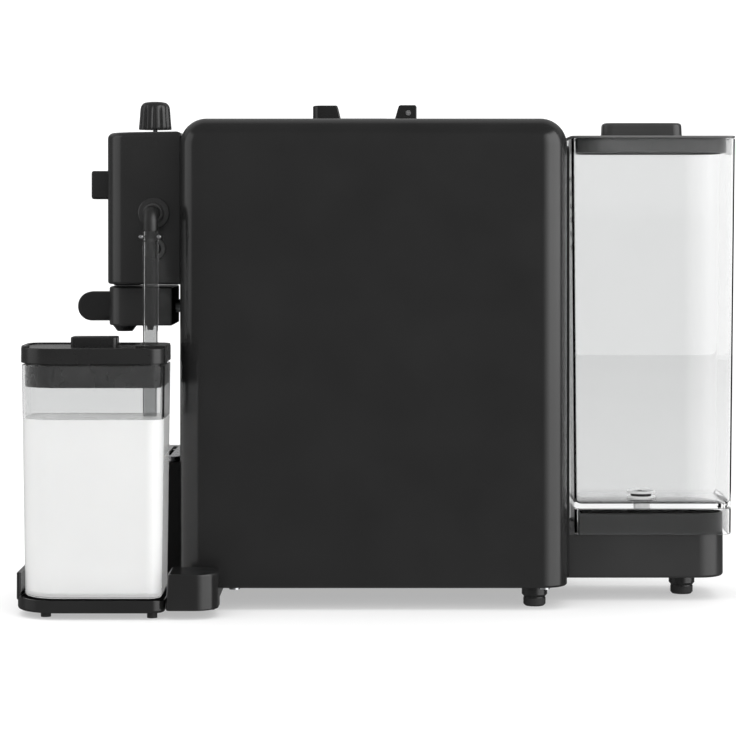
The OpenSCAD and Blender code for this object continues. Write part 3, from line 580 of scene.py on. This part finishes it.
# ---------------------------------------------------------------- outlet block
block = Build().box((-159, -121.5, -24, 24), (-159, -121.5, -24, 24), 157, 179.3, [1.2, 13, 13, 1.2], 1.0, 1.2, 14, 5).object("outlet_shell")
bore = Build().prism(rounded([(3.85 * math.cos(a), 167.7 + 3.85 * math.sin(a), 0) for a in (2 * math.pi * i / 40 for i in range(40))]), -132.2, -110, 0.01, 0.01, from_yz, 1).object("bore")
cut(block, bore)
dress(block, "outlet", OUTP, ["outlet_body"])
# Painted shade: the outlet's back end faces get the near-black material, standing in for the shade between outlet and
# housing.
block.data.materials.append(SHADE_BLACK)
for p in block.data.polygons:
    if p.normal.x > 0.75 and p.center.x > -123 * MM:
        p.material_index = 1
paddle = Build().prism(rounded([(-178, 159.2, 8.2), (-158.2, 159.2, 0.3), (-158.2, 176.1, 0.3), (-178, 176.1, 8.2)], 14), -7, 7, 1.2, 1.2, from_xz, 5)
dress(paddle.object("outlet_thumb"), "outlet", GLOSS, ["outlet_handle"])
noz = Build().lathe([(2.2, 157.4), (7.0, 157.4), (7.0, 156.4), (6.8, 156.0), (4.6, 153.1), (4.2, 152.9), (2.2, 152.9)], (-151.2, 0, 0), n=48, close=True)
dress(noz.object("foam_outlet"), "outlet", GLOSS, ["foam_nozzle"])
noz2 = Build().lathe([(1.6, 157.4), (4.4, 157.4), (4.4, 155.9), (3.1, 153.8), (2.8, 153.6), (1.6, 153.6)], (-136.6, 0, 0), n=40, close=True)
dress(noz2.object("coffee_outlet"), "outlet", GLOSS, ["coffee_nozzle"])

# ---------------------------------------------------------------- milk jug
JO_LO, JO_HI = (-199.0, -122.3, -92.2, -42.8), (-200.9, -120.5, -93, -42)
RIM = 137.9
jug = Build()
rings = []


def jug_ring(z, d):
    """The jug's outline at height z, drawn in by d: one wide corner, towards the cup side of the near face."""
    t = (z - 10.7) / (RIM - 10.7)
    x0, x1, y0, y1 = (a + (b - a) * t for a, b in zip(JO_LO, JO_HI))
    r = [max(q - d, 0.4) for q in (7.4 + 0.6 * t, 7.4 + 0.6 * t, 21 + t, 7.4 + 0.6 * t)]
    return [row(px, py, z) for px, py in rrect(x0 + d, x1 - d, y0 + d, y1 - d, r, 16)]


for i in range(7):
    a = math.pi / 2 * i / 6
    rings.append(jug_ring(10.7 + 1.2 * (1 - math.cos(a)), 1.2 * (1 - math.sin(a))))
for z, d in ((40, 0), (75, 0), (RIM - 0.5, 0), (RIM - 0.15, 0.15), (RIM, 0.4), (RIM, 0.8), (RIM - 0.15, 1.05), (RIM - 0.5, 1.2), (75, 1.2), (40, 1.2)):
    rings.append(jug_ring(z, d))
for i in range(7):
    a = math.pi / 2 * i / 6
    rings.append(jug_ring(12.2 + 2.0 * (1 - math.sin(a)), 1.2 + 2.0 * (1 - math.cos(a))))
jug.loft(rings)
dress(jug.object("jug_clear"), "jug", JUGC, ["milk_jug"])
milk = Build()
rings = []
MILK_TOP = 108.0
for i in range(7):
    a = math.pi / 2 * i / 6
    rings.append(jug_ring(12.14 + 2.0 * (1 - math.cos(a)), 1.14 + 2.0 * (1 - math.sin(a))))
for z, d in ((40, 1.14), (75, 1.14), (MILK_TOP + 0.5, 1.14), (MILK_TOP + 0.35, 1.7), (MILK_TOP + 0.05, 2.8), (MILK_TOP, 4.2)):
    rings.append(jug_ring(z, d))
milk.loft(rings)
milk = dress(milk.object("milk_fill"), "jug", MILK)
milk.data.materials.append(MILKTOP)
for p in milk.data.polygons:
    if p.center.z > (MILK_TOP - 0.2) * MM and p.normal.z > 0.3:
        p.material_index = 1

lid = Build().box((-201.4, -120.4, -94, -41), (-201.4, -120.4, -94, -41), 139.0, 147.6, [8, 8, 23, 8], 0.5, 0.6, 16, 6).object("jug_lid_top")
brim = Build().box((-201.2, -120.6, -93.8, -41.2), (-201.2, -120.6, -93.8, -41.2), 146.6, 148.4, [8, 8, 22.8, 8], 0.02, 0.5, 16, 4).object("brim")
sunk = Build().box((-198.6, -137, -91.2, -43.8), (-198.6, -137, -91.2, -43.8), 147.3, 152, [7, 7, 20.2, 7], 0.3, 0.1, 14, 3).object("sunk")
front = Build().box((-210, -110, -110, -82), (-210, -110, -110, -82), 147.3, 152, 2, 0.1, 0.1, 4, 2).object("front")
cut(brim, sunk, front)
skirt = Build().box((-199.2, -122.2, -91.3, -43.7), (-199.2, -122.2, -91.3, -43.7), 125.9, 139.6, [6.3, 6.3, 20.3, 6.3], 0.4, 0.1, 16, 3).object("skirt")
under = Build().box((-197.1, -124.3, -89.3, -45.7), (-197.1, -124.3, -89.3, -45.7), 118, 145.4, [4.3, 4.3, 18.3, 4.3], 0.1, 0.6, 12, 3).object("under")
pass_ = Build().lathe([(0, 100), (4.9, 100), (4.9, 180), (0, 180)], (DX, DY, 0), n=48).object("pass_")
cut(lid, skirt, brim, operation="UNION")
cut(lid, under, pass_)
rests = Build()
for rx in (-168, -134):
    for ry in (-92.7, -45.0):
        rests.box((rx, rx + 7, ry, ry + 2.7), (rx, rx + 7, ry, ry + 2.7), 137.95, 139.2, 0.6, 0.2, 0.05, 4, 2)
lid = join("jug_lid_top", lid, rests.object("rests"))
dress(lid, "jug_cover", LID, ["jug_lid"])
grip = Build().box((-173.8, -148.0, -75, -60), (-173.8, -148.0, -75, -60), 147.1, 153.1, 2.4, 0.2, 0.9, 8, 5)
dress(grip.object("jug_lid_tab"), "jug_cover", LID, ["jug_lid_grip"])

# ---------------------------------------------------------------- tray
plate = Build().prism(rounded([(-202.8, -97, 24), (-119.9, -97, 7.5), (-119.9, -61, 0.5), (-118, -60, 0.2), (-118, -84, 0.4), (-93, -84, 0.4), (-93, 39, 3), (-115.8, 39, 0.4), (-117, 41, 0.8),
                                     (-202.8, 41, 10)], 16), 3.4, 12.4, 1.6, 0.4, row, 5).object("tray_plate")
dip = Build().box((-200.4, -119.4, -99, -40.6), (-200.4, -119.4, -99, -40.6), 10.4, 30, 0.3, 0.05, 0.05, 3, 1).object("dip")
under1 = Build().box((-186, -128, -80, -45), (-186, -128, -80, -45), 0, 8, 8, 0.05, 0.5, 6, 3).object("under1")
under2 = Build().box((-190, -120, -34, 34), (-190, -120, -34, 34), 0, 9, 4, 0.05, 0.5, 5, 3).object("under2")
cut(plate, dip, under1, under2)
wall = Build().box((-202.8, -200.4, -80, -38), (-202.8, -200.4, -80, -38), 8.6, 23.5, 1.1, 0.4, 0.5, 8, 5).object("wall_piece")
guide = Build().box((-119.2, -91, -97, -67.4), (-118.2, -91, -97, -67.4), 4.8, 24.9, [8, 1.0, 2.4, 13], 0.8, 1.2, 14, 6).object("guide_piece")
stop = Build().prism(rrect(-200.6, -119.4, 11.8, 18, 0.8, 3), -40.6, -38.6, 0.3, 0.3, from_xz, 2).object("stop_piece")
land = Build().box((-202, -117, -38.2, 39.4), (-202, -117, -38.2, 39.4), 11.8, 15.4, 3, 0.2, 0.7, 6, 3).object("land_piece")
tray = join("tray_piece", plate, wall, guide, stop, land)
dress(tray, "housing", BODY, ["jug_tray"])

# Painted shade: a thin near-black sheet over the tray floor around the jug, where the jug shades it.
recess_shade_sheet = Build().box((-199.6, -120.6, -96.2, -41.2), (-199.6, -120.6, -96.2, -41.2), 10.3, 10.6, [1, 1, 21, 4], 0.05, 0.1, 12, 2)
dress(recess_shade_sheet.object("tray_recess_shade"), "housing", SHADE_BLACK)

# ---------------------------------------------------------------- pod container and cup grille
cont = Build().box((-190, -5, -37, 37), (-190, -5, -37, 37), 15.8, 80, 7, 1.0, 0.4, 10, 4).object("pod_bin")
c1 = Build().box((-188, -117.4, -35, 35), (-188, -117.4, -35, 35), 17.8, 90, 5, 1.0, 0.1, 8, 3).object("c1")
c2 = Build().box((-115.4, -7, -35, 35), (-115.4, -7, -35, 35), 17.8, 90, 5, 1.0, 0.1, 8, 3).object("c2")
c3 = Build().box((-111, 0, -42, 42), (-111, 0, -42, 42), 62, 90, 0.5, 0.05, 0.05, 2, 1).object("c3")
cut(cont, c1, c2, c3)
dress(cont, "drawer", BIN, ["pod_container"])
grate = Build().box((-189.6, -116.6, -36.6, 36.6), (-189.6, -116.6, -36.6, 36.6), 80.3, 83, 6.6, 0.2, 0.6, 10, 3).object("cup_plate")
hol = Build().box((-187.6, -118.6, -34.6, 34.6), (-187.6, -118.6, -34.6, 34.6), 78, 81.6, 4.6, 0.1, 0.1, 6, 1).object("hol")
slots = [hol]
for i in range(9):
    sx = -181 + 7 * i
    slots.append(Build().box((sx, sx + 2.6, -28, 28), (sx, sx + 2.6, -28, 28), 76, 88, 1.28, 0.02, 0.02, 6, 1).object(f"slot{i}"))
cut(grate, *slots)
dress(grate, "grille", STEEL, ["cup_grille"])

# ---------------------------------------------------------------- water tank
TO_LO, TO_HI = (108.8, 198.3, -33.6, 33.6), (107.0, 200.8, -34.0, 34.0)
def tank_ring(z, d, r):
    t = (z - 38.2) / (264.4 - 38.2)
    x0, x1, y0, y1 = (a + (b - a) * t for a, b in zip(TO_LO, TO_HI))
    rr = [r, max(r - 1.6, 0.6), max(r - 1.6, 0.6), r]
    return [row(px, py, z) for px, py in rrect(x0 + d, x1 - d, y0 + d, y1 - d, rr, 14)]
rings = [tank_ring(39.4, 1.4, 3.6), tank_ring(38.5, 1.3, 3.7), tank_ring(38.2, 1.0, 4.0), tank_ring(38.2, 0.5, 4.5), tank_ring(38.5, 0.1, 4.9), tank_ring(39.2, 0, 5)]
rings += [tank_ring(150, 0, 5.2), tank_ring(263.8, 0, 5.4), tank_ring(264.25, 0.2, 5.2), tank_ring(264.4, 0.5, 4.9), tank_ring(264.4, 0.9, 4.5),
          tank_ring(264.2, 1.3, 4.1), tank_ring(263.6, 1.4, 4.0), tank_ring(150, 1.4, 4.0)]
for i in range(9):
    a = math.pi / 2 * i / 8
    rings.append(tank_ring(55.6 + 2.6 * (1 - math.sin(a)), 1.4 + 2.6 * (1 - math.cos(a)), 3.9 - 1.6 * (1 - math.cos(a))))
tank = Build()
idx = [tank.ring(r) for r in rings]
nn = len(idx[0])
for a, b in zip(idx, idx[1:]):
    for i in range(nn):
        j = (i + 1) % nn
        tank.f.append((a[i], a[j], b[j], b[i]))
tank.f.append(tuple(idx[-1]))
ceil = [tank_ring(52.0, 1.4, 3.6), tank_ring(52.7, 1.7, 3.3), tank_ring(53.0, 2.3, 2.7)]
ci = [tank.ring(r) for r in ceil]
chain = [idx[0]] + ci
for a, b in zip(chain, chain[1:]):
    for i in range(nn):
        j = (i + 1) % nn
        tank.f.append((a[j], a[i], b[i], b[j]))
tank.f.append(tuple(reversed(ci[-1])))
tank = tank.object("tank_clear")
hole = Build().lathe([(0, 48), (5.0, 48), (5.0, 64), (0, 64)], (150, 0, 0), n=48).object("hole")
cut(tank, hole)
dress(tank, "tank", CLEAR, ["water_tank"])
valve = Build().lathe([(2.5, 44.6), (4.6, 44.6), (5.0, 45.0), (5.0, 54.6), (5.0, 55.7), (8.0, 55.7), (8.3, 56.0), (8.3, 56.5), (8.1, 56.8), (2.5, 56.8)], (150, 0, 0), n=56, close=True)
dress(valve.object("valve_piece"), "tank", WHITE, ["tank_valve"])
bung = Build().lathe([(2.5, 56.8), (5.9, 56.8), (6.0, 57.0), (6.0, 58.5), (7.1, 58.7), (7.1, 58.9), (2.5, 58.9)], (150, 0, 0), n=48, close=True)
dress(bung.object("valve_seal"), "tank", RUBBER)
strain = Build()
strain.lathe([(7.15, 58.5), (8.0, 58.5), (8.3, 58.8), (8.3, 59.6), (8.1, 59.9), (7.6, 59.95), (7.3, 59.8), (7.15, 59.4)], (150, 0, 0), n=64, close=True)
dress(strain.object("strainer_piece"), "tank", WHITE, ["tank_strainer"])
ribs = Build()
ribs.prism(rrect(148.9, 151.1, 58.8, 59.4, 0.2, 2), -7.0, 7.0, 0.1, 0.1, from_xz, 2)
ribs.prism(rrect(-1.1, 1.1, 58.8, 59.4, 0.2, 2), 143.0, 157.0, 0.1, 0.1, from_yz, 2)
dress(ribs.object("strainer_ribs"), "tank", GREYP)

cover = Build().box((106.6, 200.8, -35, 35), (106.6, 200.8, -35, 35), 264.7, 265.9, 6, 0.25, 0.5, 16, 4).object("tank_lid_top")
sk = Build().box((109.9, 197.9, -31.1, 31.1), (109.9, 197.9, -31.1, 31.1), 256.4, 265.2, 18, 0.4, 0.1, 14, 3).object("sk")
un = Build().box((112.1, 195.7, -28.9, 28.9), (112.1, 195.7, -28.9, 28.9), 250, 263.2, 16, 0.1, 0.5, 12, 3).object("un")
cut(cover, sk, operation="UNION")
cut(cover, un)
dress(cover, "tank_cover", TANKP, ["tank_lid"])
handle = Build().box((126.8, 173.6, -9, 9), (127.2, 173.2, -8.6, 8.6), 265.6, 274.1, 6, 0.3, 1.8, 14, 6)
dress(handle.object("tank_lid_knob"), "tank_cover", HANDLE, ["tank_lid_handle"])

# ---------------------------------------------------------------- tank base
base = Build().box((104.5, 195.6, -31, 31), (104.5, 195.6, -31, 31), 13.1, 37.8, [16, 0.3, 0.3, 16], 1.6, 0.6, 20, 5).object("tank_foot")
upper = Build().box((111.4, 195.4, -31, 31), (111.4, 195.4, -31, 31), 30, 49.9, [16, 0.3, 0.3, 16], 0.2, 1.0, 20, 5).object("upper")
cut(base, upper, operation="UNION")
h1 = Build().box((113.8, 193.2, -28.6, 28.6), (113.8, 193.2, -28.6, 28.6), 15.5, 47.5, [13.6, 0.3, 0.3, 13.6], 0.1, 0.4, 12, 2).object("h1")
h2 = Build().box((106.9, 193.2, -28.6, 28.6), (106.9, 193.2, -28.6, 28.6), 5, 35.4, [13.6, 0.3, 0.3, 13.6], 0.1, 0.2, 12, 2).object("h2")
h3 = Build().lathe([(0, 40), (8.4, 40), (8.4, 60), (0, 60)], (150, 0, 0), n=48).object("h3")
cut(base, h1, h2, h3)
dress(base, "housing", TANKB, ["tank_base"])

# Painted shade: a thin near-black sheet on the tank base's top, standing in for the dark gap under the tank.
seat_shade_sheet = Build().box((112.6, 194.2, -29.8, 29.8), (112.6, 194.2, -29.8, 29.8), 49.7, 50.3, [14.8, 0.6, 0.6, 14.8], 0.05, 0.2, 16, 3).object("tank_base_seat_shade")
h4 = Build().lathe([(0, 40), (8.6, 40), (8.6, 60), (0, 60)], (150, 0, 0), n=48).object("h4")
cut(seat_shade_sheet, h4)
dress(seat_shade_sheet, "housing", SHADE_BLACK)

# ---------------------------------------------------------------- pod hatch
flap = Build().box((-41.3, 3.6, -22, 22), (-41.3, 3.6, -22, 22), 272.6, 276.2, 5, 0.3, 0.8, 8, 4).object("hatch_flap")
web = Build().box((-5, 18.4, -14.1, 14.1), (-5, 18.4, -14.1, 14.1), 272.6, 276.2, 1, 0.3, 0.8, 4, 4).object("web")
cut(flap, web, operation="UNION")
scoop = Build().lathe([(0, 274.6), (8.4, 274.6), (9, 275.2), (9, 282), (0, 282)], (-9.5, 0, 0), n=48).object("scoop")
cut(flap, scoop)
nose = Build().box((-41.3, -24.9, -14.1, 14.1), (-41.3, -27.0, -14.1, 14.1), 275.2, 284, [0.8, 6, 6, 0.8], 0.1, 0.9, 10, 5).object("nose")
heel = Build().prism(rounded([(6, 275.2, 0.2), (18.8, 275.2, 0.2), (18.8, 284, 1.4), (8.5, 284, 1.6)], 6), -14.1, 14.1, 0.5, 0.5, from_xz, 4).object("heel")
pinhole = Build().lathe([(0, -30), (1.55, -30), (1.55, 30), (0, 30)], (14, 0, 279.5), "y", 32).object("pinhole")
cut(heel, pinhole)
dress(join("hatch_flap", flap, nose, heel), "hatch", BODY, ["pod_hatch"])
ears = Build().box((4.5, 21.2, -24.3, 24.3), (4.5, 21.2, -24.3, 24.3), 264, 266, [2.9, 0.1, 0.1, 2.9], 0.1, 0.1, 6, 2).object("hinge_ears")
more = []
for s in (-1, 1):
    y0, y1 = (14.6, 24.3) if s > 0 else (-24.3, -14.6)
    more.append(Build().box((4.5, 21.2, y0, y1), (4.5, 21.2, y0, y1), 265.6, 274.7, [2.6, 0.1, 0.1, 0.1] if s > 0 else [0.1, 0.1, 0.1, 2.6], 0.1, 0.3, 6, 3).object(f"ear{s}"))
    y0, y1 = (14.6, 18.6) if s > 0 else (-18.6, -14.6)
    e = Build().prism(rounded([(6, 274, 0.2), (18.8, 274, 0.2), (18.8, 284, 1.4), (8.5, 284, 1.6)], 6), y0, y1, 0.6, 0.6, from_xz, 4).object(f"lug{s}")
    ph = Build().lathe([(0, -30), (1.52, -30), (1.52, 30), (0, 30)], (14, 0, 279.5), "y", 32).object("ph")
    cut(e, ph)
    more.append(e)
dress(join("hinge_ears", ears, *more), "housing", BODY, ["hatch_bracket"])

# ---------------------------------------------------------------- floor, lights, camera
def floor_material():
    m, nt, b = nodes_of("studio_floor")
    f = noise(nt, 3.0, 2.0)
    nt.links.new(ramp(nt, f, (0.50, 0.50, 0.50), (0.51, 0.51, 0.51)), b.inputs["Base Color"])
    b.inputs["Roughness"].default_value = 0.9
    b.inputs["IOR"].default_value = 1.02
    b.inputs["Emission Color"].default_value = (1, 1, 1, 1)
    b.inputs["Emission Strength"].default_value = 0.42
    return m


me = bpy.data.meshes.new("floor")
me.from_pydata([(-6, -6, 0), (6, -6, 0), (6, 2.45, 0), (-6, 2.45, 0)], [], [(0, 1, 2, 3)])
floor = bpy.data.objects.new("floor", me)
floor.visible_glossy = False
SCENE.collection.objects.link(floor)
floor.location = (0, 0, -0.0001)
me.materials.append(floor_material())


def step(x, a, b, w):
    """1 between a and b, fading to 0 over w on each side."""
    return max(0.0, min(1.0, (x - a) / w + 0.5)) * max(0.0, min(1.0, (b - x) / w + 0.5))


def glow(az, el):
    """Brightness of the studio as reflections see it. az 0 is towards the near side, 90 towards the tank's end."""
    back = abs(az) > 90
    light = 0.11
    light = max(light, 0.20 * step(az, -60, 16, 6) * step(el, -80, 60, 20))
    if not back:
        light = max(light, 0.25 * step(el, -90, -10, 8))
    r = 1.0 * step(az, 15, 92, 3) + 1.0 * step(az, 25, 92, 3) + 1.1 * step(az, 35, 92, 3)
    r *= (1.0 - 0.34 * step(el, -90, -3, 2)) * step(el, -18, 45, 8)
    light = max(light, r)
    light = max(light, 0.95 * step(az, -106, -66, 4) * (1.0 - 0.62 * step(el, -90, -4.6, 2)) * step(el, -20, 38, 6))
    over = math.degrees(math.atan2(math.sin(math.radians(el)), math.cos(math.radians(el)) * math.cos(math.radians(az))))
    light = max(light, 0.40 * step(over, 109, 152, 4) * step(el, 18, 90, 8))
    light = max(light, 0.42 * step(abs(az), 150, 200, 6) * step(el, -10, 42, 5))
    return light


def sky():
    """Studio cards all round, cut out of one ball; only reflections see them."""
    levels = 40
    mats = []
    for i in range(levels):
        m = bpy.data.materials.new(f"card_{i}")
        m.use_nodes = True
        nt = m.node_tree
        nt.nodes.clear()
        out = nt.nodes.new("ShaderNodeOutputMaterial")
        e = nt.nodes.new("ShaderNodeEmission")
        e.inputs["Strength"].default_value = 0.1 + 2.9 * (i / (levels - 1)) ** 1.8
        nt.links.new(e.outputs[0], out.inputs[0])
        m.cycles.emission_sampling = "NONE"
        mats.append(m)
    na, ne, rad, c = 180, 90, 5.0, Vector((0, -0.05, 0.2))
    verts, faces, index = [], [], []
    for j in range(ne + 1):
        el = math.radians(-90 + 180 * j / ne)
        for i in range(na):
            az = math.radians(-180 + 360 * i / na)
            verts.append(c + rad * Vector((math.sin(az) * math.cos(el), -math.cos(az) * math.cos(el), math.sin(el))))
    for j in range(ne):
        for i in range(na):
            faces.append((j * na + i, j * na + (i + 1) % na, (j + 1) * na + (i + 1) % na, (j + 1) * na + i))
            v = glow(-180 + 360 * (i + 0.5) / na, -90 + 180 * (j + 0.5) / ne)
            index.append(min(levels - 1, max(0, round((levels - 1) * (max(v - 0.1, 0) / 2.9) ** (1 / 1.8)))))
    me = bpy.data.meshes.new("cards")
    me.from_pydata(verts, [], faces)
    for m in mats:
        me.materials.append(m)
    me.polygons.foreach_set("material_index", index)
    o = bpy.data.objects.new("cards", me)
    SCENE.collection.objects.link(o)
    o.visible_camera = o.visible_diffuse = o.visible_shadow = o.visible_transmission = o.visible_volume_scatter = False


sky()

world = bpy.data.worlds.new("studio")
SCENE.world = world
world.use_nodes = True
bg = world.node_tree.nodes["Background"]
bg.inputs["Color"].default_value = (1, 1, 1, 1)
bg.inputs["Strength"].default_value = 1.25
world.cycles_visibility.glossy = False


def area(name, loc, target, w, h, power, colour=(1, 1, 1)):
    d = bpy.data.lights.new(name, "AREA")
    d.shape, d.size, d.size_y, d.energy, d.color = "RECTANGLE", w, h, power, colour
    o = bpy.data.objects.new(name, d)
    SCENE.collection.objects.link(o)
    o.location = loc
    o.rotation_euler = (Vector(target) - Vector(loc)).to_track_quat("-Z", "Y").to_euler()
    o.visible_glossy = o.visible_camera = False
    return o


area("key_top", (0.0, -0.2, 2.2), (0, 0, 0), 2.4, 1.8, 20)
area("soft_front", (0.2, -2.6, 0.9), (0, 0, 0.15), 2.2, 1.4, 16)

cam = bpy.data.cameras.new("cam")
cam.sensor_width = 36.0
cam.lens = 120.02
cam.shift_x = -12 / 736
cam.shift_y = -153 / 736
cam.clip_start, cam.clip_end = 0.05, 60
co = bpy.data.objects.new("cam", cam)
SCENE.collection.objects.link(co)
co.location = (-0.00235, -1.417, 0.2206)
co.rotation_euler = (math.pi / 2, 0, 0)
SCENE.camera = co
SCENE.view_settings.view_transform = "Standard"
SCENE.view_settings.look = "None"
SCENE.cycles.use_denoising = True
SCENE.cycles.max_bounces = 24
SCENE.cycles.transmission_bounces = 20
SCENE.cycles.transparent_max_bounces = 24
SCENE.cycles.sample_clamp_indirect = 6
